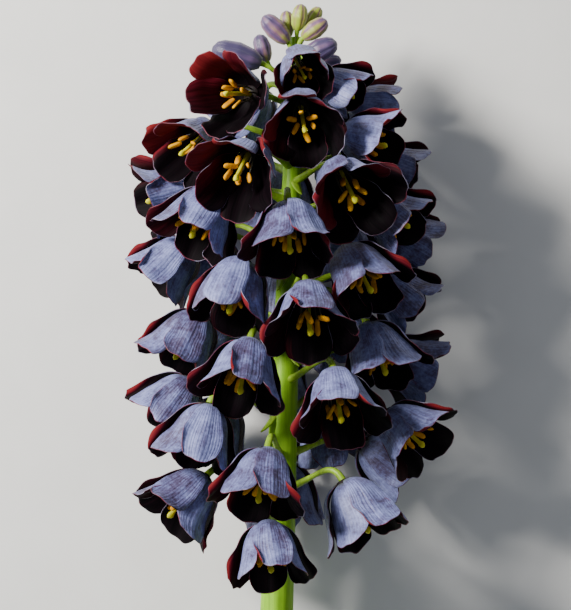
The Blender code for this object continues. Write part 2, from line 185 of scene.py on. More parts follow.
stem_green = green_skin("stem green", (0.11, 0.24, 0.004), (0.21, 0.44, 0.007), (0.32, 0.60, 0.018))
stem_steps = 60
run = []
for i in range(stem_steps + 1):
    along = STEM_LENGTH * i / stem_steps
    run.append((stem_middle(along), stem_radius(along)))
stem = shoots("stem", [run], 24, stem_green)
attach(stem, "root")
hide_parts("stem")


# The stalks
# Each flower hangs from a thin green stalk that leaves the stem with a flared foot, arches up and
# out, and thickens a little where it carries the flower.
BELL_STALK = (1.05, 3, 4)
BUD_STALK = (0.8, 1, 5)
STALK_STEPS = 14
ARCH = 0.35
STALK_TURN = 4.0
HIGHEST_FOOT = 3.0
STALK_INTO_FLOWER = 0.6
SLIMMEST, FOOT_FLARE, HEAD_SWELL = 0.92, 1.1, 0.45
LONG_KNOTS, SHORT_KNOTS = 0.05, 0.04


def flower_place(node):
    """Where a solid flower is rooted and which way it points, from the flat button at its root."""
    mesh = bmesh.new()
    mesh.from_mesh(node.data)
    bmesh.ops.scale(mesh, vec=(1 / MM, 1 / MM, 1 / MM), verts=mesh.verts)
    bmesh.ops.remove_doubles(mesh, verts=mesh.verts, dist=0.01)
    points = [vert.co.copy() for vert in mesh.verts]
    flat = math.radians(0.5)
    bmesh.ops.dissolve_limit(mesh, angle_limit=flat, verts=mesh.verts, edges=mesh.edges)
    button = max(mesh.faces, key=lambda face: len(face.verts))
    root = button.calc_center_median()
    forward = -button.normal
    swing = math.atan2(forward.x, -forward.y)
    across = Vector((math.cos(swing), math.sin(swing), 0))
    upper = across.cross(forward) * -1
    turned = Matrix((across, upper, forward))
    own = [turned @ (point - root) for point in points]
    button_points = [turned @ (vert.co - root) for vert in button.verts]
    mesh.free()
    return {"root": root, "turned": turned.transposed(), "own": own, "button": button_points}


flowers = {name: flower_place(node) for name, node in nodes.items() if name != "stem"}


def stalk_run(root, forward, radius, rise, drop):
    """One stalk's points and radii, in mm on the stem's line, from the stem to its flower."""
    along = min(root.y - drop, STEM_LENGTH - HIGHEST_FOOT)
    start = stem_middle(along)
    out = Vector((root.x - start.x, 0, root.z))
    reach = out.length
    out.normalize()
    end = root + forward * STALK_INTO_FLOWER
    first = start + out * (stem_radius(along) + ARCH * reach) + Vector((0, rise, 0))
    second = end - forward * ARCH * (reach + STALK_TURN)
    run = []
    for i in range(STALK_STEPS + 1):
        t = i / STALK_STEPS
        a, b, c, d = (1 - t) ** 3, 3 * t * (1 - t) ** 2, 3 * t * t * (1 - t), t**3
        knots = LONG_KNOTS * math.sin(11 * t + root.x) + SHORT_KNOTS * math.sin(23 * t + root.z)
        thick = radius * (SLIMMEST + FOOT_FLARE * (1 - t) ** 8 + HEAD_SWELL * t**6 + knots)
        run.append((start * a + first * b + second * c + end * d, thick))
    return run


stalk_green = green_skin("stalk green", (0.11, 0.17, 0.02), (0.20, 0.34, 0.015), (0.34, 0.48, 0.05))
runs = []
for name, flower in sorted(flowers.items()):
    forward = flower["turned"].col[2]
    shape = BELL_STALK if name.startswith("bell") else BUD_STALK
    runs.append(stalk_run(flower["root"] - stem_line, forward, *shape))
stalks = shoots("stalks", runs, 10, stalk_green)
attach(stalks, "root")


# The bracts
# A few narrow green leaves, a centimetre long, grow from the stem under some of the stalks and end
# in a point.
BRACTS = [
    (62, -35, 9),
    (103, -50, 10),
    (124, 30, 9),
    (150, -25, 10),
    (181, 25, 9),
]
BRACT_WIDTH = 3.0
BRACT_LEAN = 35
BRACT_SUNK = 1.5

for number, (along, turn, length) in enumerate(BRACTS, 1):
    turn = math.radians(turn)
    lean = math.radians(BRACT_LEAN)
    out = Vector((math.sin(turn), 0, math.cos(turn)))
    side = Vector((math.cos(turn), 0, -math.sin(turn)))
    way = out * math.sin(lean) + Vector((0, -math.cos(lean), 0))
    thick = side.cross(way)
    root = stem_line + stem_middle(along) + out * (stem_radius(along) - BRACT_SUNK)
    bpy.ops.object.select_all(action="DESELECT")
    bpy.ops.mesh.primitive_grid_add(x_subdivisions=4, y_subdivisions=8, size=2)
    bract = bpy.context.active_object
    bract.name = f"bract_{number}"
    for vert in bract.data.vertices:
        t = (vert.co.y + 1) / 2
        wide = BRACT_WIDTH / 2 * math.sin(math.pi * min(0.2 + 0.8 * t, 1)) ** 0.7
        fold = abs(vert.co.x) * wide * 0.45 - t * t * 1.2
        vert.co = (root + way * length * t + side * vert.co.x * wide + thick * fold) * MM
    wall = bract.modifiers.new("wall", "SOLIDIFY")
    wall.thickness = 0.5 * MM
    wall.offset = 0
    bpy.ops.object.modifier_apply(modifier=wall.name)
    bract.data.materials.append(stalk_green)
    bpy.ops.object.shade_smooth()
    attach(bract, "root")


# The petals
# Six waxy tepals in two layers make each bell: narrow at the root, arched over a shoulder, ribbed and
# flared at the lip, with margins that curl back on the sunny side. Grey-blue out, plum-black in.
TEPAL_WIDTH = 15.0
OUTER_SHARE, INNER_SHARE = 0.96, 1.04
OUTER_BEND, INNER_BEND = 1.3, 0.95
LAYER_STEP = 0.8
ROOT_LAYER_STEP = 0.28
FINE_BLADE = 0.5
MARGIN_SHARE = 0.5
ROOT_RADIUS = 2.3
ROOT_DEPTH = 1.5
SHOULDER_ANGLE = 80.0
WALL_ANGLE = 17.0
SHOULDER_END = 0.45
SHOULDER_POWER = 1.5
LIP_POWER = 1.6
PROFILE_STEPS = 60
CLAW_SHARE = 0.25
SIDE_POWER = 1.0
WIDEST_AT = 0.74
CORNER_AT = 0.9
CLAW_SPREAD = 37.0
STYLE_LENGTH = 19.5
BLADE_COLUMNS, BLADE_ROWS = 10, 12
ROLL_FROM = 0.55
HALF_OPEN_SIZE = 0.75
HALF_OPEN_OVERLAP = 1.25
SUN = Vector((-0.66, 0.38, 0.65)).normalized()

# How far one petal may differ from the next: at its tip, in its lean, along its margins, in its
# folds, and as a whole.
TIP_BLUNTNESS = (1.9, 2.7)
POINT, POINT_WIDTH = 0.05, 0.16
TIP_WAVE = (0.006, 0.02)
TIP_RAGGED = 0.011
LIP_STRAY = 5
TIP_CURL = (-12, 26)
SIDE_WAVE = 0.04
SIDE_RAGGED = 0.028
SHADE_ROLL, SUN_ROLL = (-0.9, 0.7), (1.1, 2.6)
ROLLED_IN_SUN = 0.75
INNER_ROLL = 0.7
RIPPLE = (0.3, 0.95)
MIDRIB, MIDRIB_WIDTH = 0.4, 0.14
FOLD, FOLD_AT, FOLD_WIDTH = (0.2, 0.5), (0.3, 0.5), 0.16
BILLOW = 0.5
TWIST = 0.2
SWAY = 1.0

# Painted light: the red of daylight through a petal is painted on its inside where it faces the sun
# from behind, and young ones most.
# A margin curled towards the sun is painted crimson.
FACING_BACK = 0.25
OLD_BELOW, YOUNG_ABOVE = 165.0, 195.0
OLD_GLOW = 0.45
MARGIN_GLOW, MOST_MARGIN_GLOW = 1.4, 0.95


def smooth(value, low, high):
    """From 0 at the low value to 1 at the high one, with soft ends."""
    t = np.clip((value - low) / (high - low), 0, 1)
    return t * t * (3 - 2 * t)


def lean_angles(lip, curl=0.0):
    """How far a tepal's midline leans from the bell's axis, in radians, from root to tip."""
    t = np.linspace(0, 1, PROFILE_STEPS + 1)
    shoulder = (SHOULDER_ANGLE - WALL_ANGLE) * np.clip(1 - t / SHOULDER_END, 0, 1) ** SHOULDER_POWER
    past = np.clip((t - SHOULDER_END) / (1 - SHOULDER_END), 0, 1)
    lean = WALL_ANGLE + shoulder + (lip - WALL_ANGLE) * past**LIP_POWER
    return np.radians(lean + curl * smooth(t, 0.72, 1))


def read_tepals(flower):
    """Each tepal of a solid bell: its turn about the axis, its layer, its length and its lip."""
    own = flower["own"]
    style = max(point.z for point in own if math.hypot(point.x, point.y) < 1)
    flower["size"] = style / STYLE_LENGTH
    tepals = []
    for corner in flower["button"]:
        turn = math.atan2(corner.x, corner.y)
        midline = []
        for point in own:
            out = point.x * math.sin(turn) + point.y * math.cos(turn)
            aside = point.x * math.cos(turn) - point.y * math.sin(turn)
            if out > 1 and abs(aside) < 0.02:
                midline.append((out, point.z))
        if len(midline) < 8:
            continue
        outer = len(midline) > 11
        near, far = sorted(sorted(midline, key=sum)[-2:])
        lip = math.atan2(near[1] - far[1], far[0] - near[0])
        layer = LAYER_STEP if outer else -LAYER_STEP
        depth = (near[1] + far[1]) / 2 + layer * math.sin(lip) - ROOT_DEPTH / 2
        cosines = np.cos(lean_angles(math.degrees(lip)))[:-1].sum() / PROFILE_STEPS
        tepals.append((turn, outer, depth / cosines, math.degrees(lip)))
    return tepals


def half_width(t, width, tip_power):
    """Half the width of a tepal at a share of its length: narrow claw, broad blade, round tip."""
    rising = np.sin(np.pi / 2 * np.clip(t / WIDEST_AT, 0, 1)) ** SIDE_POWER
    share = CLAW_SHARE + (1 - CLAW_SHARE) * rising
    past = np.clip((t - WIDEST_AT) / (1 - WIDEST_AT), 0, 1)
    return share * np.sqrt(1 - past**tip_power) * width / 2


def bend_blade(u, v, tepal, size, turned, painted_glow_strength, draw):
    """A flat sheet, from -1 to 1 across and 0 to 1 along, bent into its tepal, with the painted red of
    daylight through it.
    """
    turn, outer, length, lip = tepal
    width = TEPAL_WIDTH * size * (OUTER_SHARE if outer else INNER_SHARE)
    if size < HALF_OPEN_SIZE:
        width *= HALF_OPEN_OVERLAP
    side_way = turned @ np.array((math.cos(turn), -math.sin(turn), 0))
    out_way = turned @ np.array((math.sin(turn), math.cos(turn), -FACING_BACK))
    sun = np.array(SUN)

    tip_power = draw.uniform(*TIP_BLUNTNESS)
    corner = half_width(CORNER_AT, 2.0, tip_power)
    tip = WIDEST_AT + (1 - WIDEST_AT) * (1 - (corner * np.abs(u)) ** 2) ** (1 / tip_power)
    tip += draw.uniform(0.0, POINT) * np.exp(-((u / POINT_WIDTH) ** 2))
    tip += draw.uniform(*TIP_WAVE) * np.sin(u * draw.uniform(3, 7) + draw.uniform(0, 6.28))
    ragged = np.array([draw.gauss(0, TIP_RAGGED) for _ in range(BLADE_COLUMNS + 1)])
    tip += ragged * smooth(v, 0.6, 1)
    t = v * tip

    lean_all = lean_angles(lip + draw.uniform(-LIP_STRAY, LIP_STRAY), draw.uniform(*TIP_CURL))
    steps = np.linspace(0, 1, PROFILE_STEPS + 1)
    sines = np.concatenate(([0], np.sin(lean_all)[:-1].cumsum())) * length / PROFILE_STEPS
    cosines = np.concatenate(([0], np.cos(lean_all)[:-1].cumsum())) * length / PROFILE_STEPS
    radius = ROOT_RADIUS + np.interp(t, steps, sines)
    depth = np.interp(t, steps, cosines) + np.clip(t - 1, 0, 1) * length * math.cos(lean_all[-1])
    lean = np.interp(t, steps, lean_all)

    bend = radius * (OUTER_BEND if outer else INNER_BEND)
    half = half_width(CORNER_AT * v, width, tip_power)
    half = half * (1 + SIDE_WAVE * smooth(v, 0.3, 0.6) * np.sin(v * draw.uniform(12, 20)))
    notches = np.array([[draw.gauss(0, SIDE_RAGGED)] for _ in range(BLADE_ROWS + 1)])
    half = half * (1 + notches * smooth(v, 0.3, 0.5))
    claw = radius * math.radians(CLAW_SPREAD)
    half = np.where(v < SHOULDER_END / 2, np.minimum(half, claw), half)

    # The sheet is bent across in strips from the midline out, so that it keeps its width.
    aside = np.zeros_like(u)
    out = np.zeros_like(u)
    painted_margin_red = np.zeros_like(u)
    middle = BLADE_COLUMNS // 2
    for side in (-1, 1):
        to_sun = float(side_way @ sun) * side
        roll = draw.uniform(*SHADE_ROLL)
        if to_sun > 0.2 and draw.random() < ROLLED_IN_SUN:
            roll = draw.uniform(*SUN_ROLL)
        if not outer:
            roll *= INNER_ROLL
        along = smooth(v, draw.uniform(0.3, 0.5), draw.uniform(0.75, 0.9))
        for c in range(middle, middle + side * middle, side):
            wide = (np.abs(u[:, c]) + np.abs(u[:, c + side])) / 2
            width_here = half[:, c] * np.abs(u[:, c + side] - u[:, c])
            angle = -wide * half[:, c] / bend[:, c]
            angle += roll * along[:, c] * smooth(wide, ROLL_FROM, 1.1) * 1.2
            aside[:, c + side] = aside[:, c] + side * np.cos(angle) * width_here
            out[:, c + side] = out[:, c] + np.sin(angle) * width_here
            edge = smooth(np.abs(u[:, c + side]), 0.45, 0.95)
            # Painted light: how far a margin curls towards the sun sets the crimson painted on it.
            painted_margin_red[:, c + side] = min(roll / 2, 1) * edge * along[:, c] * max(to_sun, 0)

    layer = LAYER_STEP if outer else -LAYER_STEP
    root_layer = ROOT_LAYER_STEP if outer else -ROOT_LAYER_STEP
    out += root_layer + (layer - root_layer) * smooth(v, 0, 0.35)
    ripple = np.sin(v * draw.uniform(9, 15) + draw.uniform(0, 6.28) + (u > 0) * draw.uniform(1, 4))
    out += draw.uniform(*RIPPLE) * size * ripple * np.abs(u) ** 2.5 * smooth(v, 0.35, 0.8)
    out += MIDRIB * np.exp(-((u / MIDRIB_WIDTH) ** 2)) * smooth(v, 0.08, 0.3)
    fold = draw.uniform(*FOLD)
    for side in (1, -1):
        from_fold = (u - side * draw.uniform(*FOLD_AT)) / FOLD_WIDTH
        out -= fold * np.exp(-(from_fold**2)) * smooth(v, 0.15, 0.5)
    billow = draw.uniform(-BILLOW, BILLOW) * size * np.sin(v * 6 + draw.uniform(0, 6.28))
    out += billow * smooth(v, 0.3, 0.7)
    twist = draw.uniform(-TWIST, TWIST) * smooth(v, 0.3, 1)
    out, aside = out + aside * twist, aside - out * twist
    aside += draw.uniform(-SWAY, SWAY) * size * v**2

    far = radius + out * np.cos(lean)
    x = far * math.sin(turn) + aside * math.cos(turn)
    y = far * math.cos(turn) - aside * math.sin(turn)
    z = depth - out * np.sin(lean) + ROOT_DEPTH / 2
    points = np.stack((x, y, z), axis=-1) @ turned.T
    # Painted light: the red of the key light shining through the petal from behind, weaker on old
    # bells, with crimson painted on margins curled to the sun.
    lit = smooth(float(out_way @ sun) + 0.25 * u * float(side_way @ sun), -0.4, 0.35)
    crimson = np.minimum(painted_margin_red * MARGIN_GLOW, MOST_MARGIN_GLOW)
    painted_glow = np.maximum(lit * painted_glow_strength * smooth(v, 0.1, 0.5), crimson)
    return points, np.clip(painted_glow, 0, 1)


def sheet_place(add, link, across, along):
    """The petal's own length and width, stretched, and shifted from petal to petal."""
    sheet = add("UVMap", uv_map="UVMap")
    number = add("Attribute", attribute_name="petal")
    lift = add("CombineXYZ")
    shifted = add("VectorMath", operation="ADD")
    stretch = add("Mapping")
    stretch.inputs["Scale"].default_value = (across, along, 1)
    link(number.outputs["Fac"], lift.inputs["Z"])
    link(sheet.outputs["UV"], shifted.inputs[0])
    link(lift.outputs["Vector"], shifted.inputs[1])
    link(shifted.outputs["Vector"], stretch.inputs["Vector"])
    return sheet.outputs["UV"], stretch.outputs["Vector"]


def weigh(add, link, first, second, share):
    """The first value with a share of the second one added."""
    both = add("Math", operation="MULTIPLY_ADD")
    both.inputs[1].default_value = share
    link(second, both.inputs[0])
    link(first, both.inputs[2])
    return both.outputs[0]


def blend(add, link, factor, first, second):
    """One colour laid over another where the factor says."""
    mix = add("Mix", data_type="RGBA")
    for socket, value in (("Factor", factor), ("A", first), ("B", second)):
        if isinstance(value, tuple):
            mix.inputs[socket].default_value = (*value, 1)
        else:
            link(value, mix.inputs[socket])
    return mix.outputs["Result"]


def petal_outside():
    """Waxy grey-blue bloom over plum, in fine lengthwise ribs, with a thin crimson margin."""
    material, shader, add, link = plain_material("petal outside", 0.5)
    place = add("TexCoord")
    sheet, stretched = sheet_place(add, link, 34, 2.0)
    ribs = add("TexWave", Scale=0.14, Distortion=5.0, Detail=4, Detail_Scale=0.9)
    link(stretched, ribs.inputs["Vector"])
    streaks = add("TexNoise", Scale=1.5, Detail=4, Distortion=0.3)
    link(stretched, streaks.inputs["Vector"])
    clouds = add("TexNoise", Scale=170, Detail=5, Roughness=0.6)
    link(place.outputs["Object"], clouds.inputs["Vector"])
    grain = add("TexNoise", Scale=900, Detail=3, Roughness=0.7)
    link(place.outputs["Object"], grain.inputs["Vector"])

    total = weigh(add, link, clouds.outputs["Fac"], streaks.outputs["Fac"], 0.38)
    total = weigh(add, link, total, ribs.outputs["Fac"], 0.05)
    total = weigh(add, link, total, grain.outputs["Fac"], 0.6)
    number = add("Attribute", attribute_name="petal")
    own_tone = add("Math", operation="SINE")
    link(number.outputs["Fac"], own_tone.inputs[0])
    total = weigh(add, link, total, own_tone.outputs[0], 0.09)
    tone = ramp(
        add,
        (0.0, (0.03, 0.018, 0.045)),
        (0.28, (0.066, 0.054, 0.125)),
        (0.52, (0.118, 0.128, 0.29)),
        (0.85, (0.208, 0.235, 0.48)),
    )
    spread = add("MapRange", clamp=True)
    spread.inputs["From Min"].default_value = 0.68
    spread.inputs["From Max"].default_value = 1.34
    link(total, spread.inputs["Value"])
    link(spread.outputs["Result"], tone.inputs["Fac"])

    parts = add("SeparateXYZ")
    link(sheet, parts.inputs["Vector"])
    root = ramp(add, (0.02, (1, 1, 1)), (0.16, (0, 0, 0)))
    link(parts.outputs["Y"], root.inputs["Fac"])
    colour = blend(add, link, root.outputs["Color"], tone.outputs["Color"], (0.05, 0.055, 0.03))

    aside = add("Math", operation="MULTIPLY_ADD")
    aside.inputs[1].default_value = 2
    aside.inputs[2].default_value = -1
    link(parts.outputs["X"], aside.inputs[0])
    size = add("Math", operation="ABSOLUTE")
    link(aside.outputs[0], size.inputs[0])
    wandering = weigh(add, link, size.outputs[0], clouds.outputs["Fac"], 0.2)
    red = ramp(add, (1.0, (0, 0, 0)), (1.1, (0.8, 0.8, 0.8)))
    link(wandering, red.inputs["Fac"])
    colour = blend(add, link, red.outputs["Color"], colour, (0.13, 0.018, 0.045))
    link(colour, shader.inputs["Base Color"])

    rib_bump = add("Bump", Strength=0.22, Distance=0.0005)
    link(ribs.outputs["Fac"], rib_bump.inputs["Height"])
    streak_bump = add("Bump", Strength=0.35, Distance=0.0005)
    link(streaks.outputs["Fac"], streak_bump.inputs["Height"])
    link(rib_bump.outputs["Normal"], streak_bump.inputs["Normal"])
    grain_bump = add("Bump", Strength=0.5, Distance=0.0003)
    link(grain.outputs["Fac"], grain_bump.inputs["Height"])
    link(streak_bump.outputs["Normal"], grain_bump.inputs["Normal"])
    link(grain_bump.outputs["Normal"], shader.inputs["Normal"])
    shader.inputs["Sheen Weight"].default_value = 0.15
    shader.inputs["Sheen Roughness"].default_value = 0.4
    shader.inputs["Sheen Tint"].default_value = (0.7, 0.75, 1.0, 1)
    return material


def petal_inside():
    """Plum-black and faintly satin, with deep red painted where daylight would come through or where a
    margin curls to the sun.
    """
    material, shader, add, link = plain_material("petal inside", 0.6)
    sheet, stretched = sheet_place(add, link, 30, 1.8)
    veins = add("TexNoise", Scale=1, Detail=3, Distortion=0.4)
    link(stretched, veins.inputs["Vector"])
    # Painted light: the share of red that daylight through the petal would give.
    through = add("Attribute", attribute_name="painted_glow")
    dark = ramp(add, (0.3, (0.0008, 0.0004, 0.0008)), (0.7, (0.0035, 0.0012, 0.0026)))
    # The painted red of daylight through the petal, black where none comes through.
    painted_glow_colour = ramp(
        add,
        (0.36, (0.0, 0.0, 0.0)),
        (0.58, (0.018, 0.0008, 0.002)),
        (0.76, (0.075, 0.0035, 0.008)),
        (1.0, (0.17, 0.012, 0.011)),
    )
    link(veins.outputs["Fac"], dark.inputs["Fac"])
    uneven = weigh(add, link, through.outputs["Fac"], veins.outputs["Fac"], 0.5)
    reddened = add("Math", operation="MULTIPLY")
    reddened.inputs[1].default_value = 0.75
    link(uneven, reddened.inputs[0])
    link(reddened.outputs[0], painted_glow_colour.inputs["Fac"])
    both = add("Mix", data_type="RGBA", blend_type="ADD")
    both.inputs["Factor"].default_value = 1
    link(dark.outputs["Color"], both.inputs["A"])
    link(painted_glow_colour.outputs["Color"], both.inputs["B"])
    colour = both.outputs["Result"]
    link(colour, shader.inputs["Base Color"])
    lines = add("Bump", Strength=0.35, Distance=0.0003)
    link(veins.outputs["Fac"], lines.inputs["Height"])
    link(lines.outputs["Normal"], shader.inputs["Normal"])
    shader.inputs["Specular IOR Level"].default_value = 0.05
    return material


def petal_rim():
    """The thin cut of the margin, crimson in places and pale mauve in others."""
    material, shader, add, link = plain_material("petal rim", 0.5)
    place = add("TexCoord")
    patches = add("TexNoise", Scale=150, Detail=2)
    tone = ramp(
        add,
        (0.38, (0.16, 0.010, 0.025)),
        (0.52, (0.10, 0.03, 0.06)),
        (0.66, (0.26, 0.24, 0.34)),
    )
    link(place.outputs["Object"], patches.inputs["Vector"])
    link(patches.outputs["Fac"], tone.inputs["Fac"])
    link(tone.outputs["Color"], shader.inputs["Base Color"])
    return material


# The blade is closed by its wall, whose first face is the inside of the bell.
petal_skins = [petal_inside(), petal_outside(), petal_rim()]

bpy.ops.object.select_all(action="DESELECT")
for i in range(6):
    bpy.ops.mesh.primitive_grid_add(
        x_subdivisions=BLADE_COLUMNS, y_subdivisions=BLADE_ROWS, size=2, location=(4 * i, 0, 0)
    )
    if i:
        six_blades.select_set(True)
        bpy.context.view_layer.objects.active = six_blades
        bpy.ops.object.join()
    six_blades = bpy.context.active_object
    bpy.ops.object.select_all(action="DESELECT")
flat_points = np.array([vert.co for vert in six_blades.data.vertices])
blade_of = np.round(flat_points[:, 0] / 4).astype(int)
column_of = np.round((flat_points[:, 0] - 4 * blade_of + 1) / 2 * BLADE_COLUMNS).astype(int)
row_of = np.round((flat_points[:, 1] + 1) / 2 * BLADE_ROWS).astype(int)
thin = np.where((column_of % BLADE_COLUMNS == 0) | (row_of == BLADE_ROWS))[0]
thick = np.setdiff1d(np.arange(len(flat_points)), thin)
six_blades.vertex_groups.new(name="body").add(thick.tolist(), 1.0, "REPLACE")
across_sheet = np.sin(np.linspace(-1, 1, BLADE_COLUMNS + 1) * 1.35) / math.sin(1.35)
along_sheet = np.linspace(0, 1, BLADE_ROWS + 1)
sheet_u, sheet_v = np.meshgrid(across_sheet, along_sheet)

for name, flower in sorted(flowers.items()):
    if not name.startswith("bell"):
        continue
    flower["tepals"] = read_tepals(flower)
    draw = random.Random(name)
    turned = np.array(flower["turned"])
    # Painted light: young bells get the strongest painted red of daylight through their petals.
    young = float(smooth(flower["root"].y - stem_line.y, OLD_BELOW, YOUNG_ABOVE))
    painted_glow_strength = OLD_GLOW + (1 - OLD_GLOW) * young
    points = np.zeros_like(flat_points)
    painted_glow = np.zeros(len(points), np.float32)
    petal = np.zeros(len(points), np.float32)
    for i, tepal in enumerate(flower["tepals"]):
        bent, red = bend_blade(sheet_u, sheet_v, tepal, flower["size"], turned, painted_glow_strength, draw)
        mine = blade_of == i
        points[mine] = bent[row_of[mine], column_of[mine]] + np.array(flower["root"])
        painted_glow[mine] = red[row_of[mine], column_of[mine]]
        petal[mine] = draw.uniform(0, 90)
    points[:, 2] = np.maximum(points[:, 2], FINE_BLADE / 2)
    bell = six_blades.copy()
    bell.data = six_blades.data.copy()
    bell.name = name + "_petals"
    bell.data.name = bell.name
    scene.collection.objects.link(bell)
    bell.matrix_world = Matrix.Identity(4)
    bell.data.vertices.foreach_set("co", (points * MM).ravel())
    # The painted red of daylight through each petal is kept as a point attribute.
    bell.data.attributes.new("painted_glow", "FLOAT", "POINT").data.foreach_set("value", painted_glow)
    bell.data.attributes.new("petal", "FLOAT", "POINT").data.foreach_set("value", petal)
    for skin in petal_skins:
        bell.data.materials.append(skin)
    bpy.ops.object.select_all(action="DESELECT")
    bell.select_set(True)
    bpy.context.view_layer.objects.active = bell
    wall = bell.modifiers.new("wall", "SOLIDIFY")
    wall.thickness = FINE_BLADE * MM
    wall.offset = 0
    wall.vertex_group = "body"
    wall.thickness_vertex_group = MARGIN_SHARE
    wall.material_offset = 1
    wall.material_offset_rim = 2
    bpy.ops.object.modifier_apply(modifier=wall.name)
    rounder = bell.modifiers.new("rounder", "SUBSURF")
    rounder.levels = rounder.render_levels = 1
    bpy.ops.object.modifier_apply(modifier=rounder.name)
    bpy.ops.object.shade_smooth()
    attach(bell, "root")
    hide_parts(name)
bpy.data.objects.remove(six_blades)


# The hearts
# Inside each bell six dark filaments stand round a thick yellow-green style with a swollen tip. Each
# carries a long loose anther dusted with orange-yellow pollen. A dark cup holds petals and all.
ANTHER_OUT = 4.2
ANTHER_DEPTH = 13.9
ANTHER_LENGTH = 5.8
ANTHER_RADIUS = 1.0
BLUNT_END = 1.45
STYLE_RADIUS = 0.72
FILAMENT_RADIUS = 0.3
FILAMENT_FOOT = 1.5
CUP_RADIUS = 3.1
CUP_DEPTH = 1.25
CUP_MIDDLE = 1.1
STYLE_FOOT = 0.6
STYLE_BOW = 0.6
STIGMA_AT, STIGMA_LENGTH = 0.95, 0.05
STIGMA_SWELL, STIGMA_LOBES = 0.8, 0.4

# How far one stamen may differ from the next, in mm, radians and degrees.
ANTHER_SPREAD = (0.6, 1.25)
ANTHER_RISE = (-1.2, 1.4)
ANTHER_TURN = 0.16
ANTHER_LEAN = (-5, 55)
ANTHER_SWAY = 22
ANTHER_GROOVE = 0.28


def speckled(name, roughness, *stops):
    """A colour that wanders between stops in fine grains, with a grainy bump."""
    material, shader, add, link = plain_material(name, roughness)
    place = add("TexCoord")
    grains = add("TexNoise", Scale=220, Detail=6, Roughness=0.7)
    tone = ramp(add, *stops)
    rough = add("Bump", Strength=0.4, Distance=0.0003)
    link(place.outputs["Object"], grains.inputs["Vector"])
    link(grains.outputs["Fac"], tone.inputs["Fac"])
    link(grains.outputs["Fac"], rough.inputs["Height"])
    link(tone.outputs["Color"], shader.inputs["Base Color"])
    link(rough.outputs["Normal"], shader.inputs["Normal"])
    shader.inputs["Specular IOR Level"].default_value = 0.15
    return material


pollen = speckled(
    "pollen", 0.85, (0.25, (0.22, 0.06, 0.001)), (0.5, (0.58, 0.25, 0.001)), (0.72, (0.82, 0.44, 0.002))
)
style_green = speckled("style green", 0.5, (0.3, (0.42, 0.42, 0.01)), (0.7, (0.72, 0.66, 0.03)))
filament_plum = speckled("filament plum", 0.5, (0.3, (0.06, 0.05, 0.035)), (0.7, (0.15, 0.14, 0.09)))
cup_plum = speckled("cup plum", 0.6, (0.3, (0.006, 0.004, 0.006)), (0.7, (0.02, 0.014, 0.012)))


def ball(segments, rings, material):
    """A ball, 2 across, that becomes one piece of the heart."""
    bpy.ops.object.select_all(action="DESELECT")
    bpy.ops.mesh.primitive_uv_sphere_add(segments=segments, ring_count=rings, radius=1)
    piece = bpy.context.active_object
    piece.data.materials.append(material)
    return piece


stamen_pieces = [ball(12, 16, style_green), ball(16, 8, cup_plum)]
for i in range(6):
    stamen_pieces += [ball(8, 6, pollen), ball(6, 6, filament_plum)]
kinds = ["style", "cup"] + ["anther", "filament"] * 6
piece_of = np.concatenate([[i] * len(p.data.vertices) for i, p in enumerate(stamen_pieces)])
for piece in stamen_pieces:
    piece.select_set(True)
bpy.context.view_layer.objects.active = stamen_pieces[0]
bpy.ops.object.join()
bpy.ops.object.shade_smooth()
heart_pattern = bpy.context.active_object
ball_points = np.array([vert.co for vert in heart_pattern.data.vertices])


def round_run(ball, radius):
    """A ball's points as a run with closed round ends: share along, and place across it."""
    across = np.hypot(ball[:, 0], ball[:, 1])
    wide = radius * np.minimum(1, across * 1.8) / np.maximum(across, 0.001)
    return (ball[:, 2] + 1) / 2, ball[:, 0] * wide, ball[:, 1] * wide


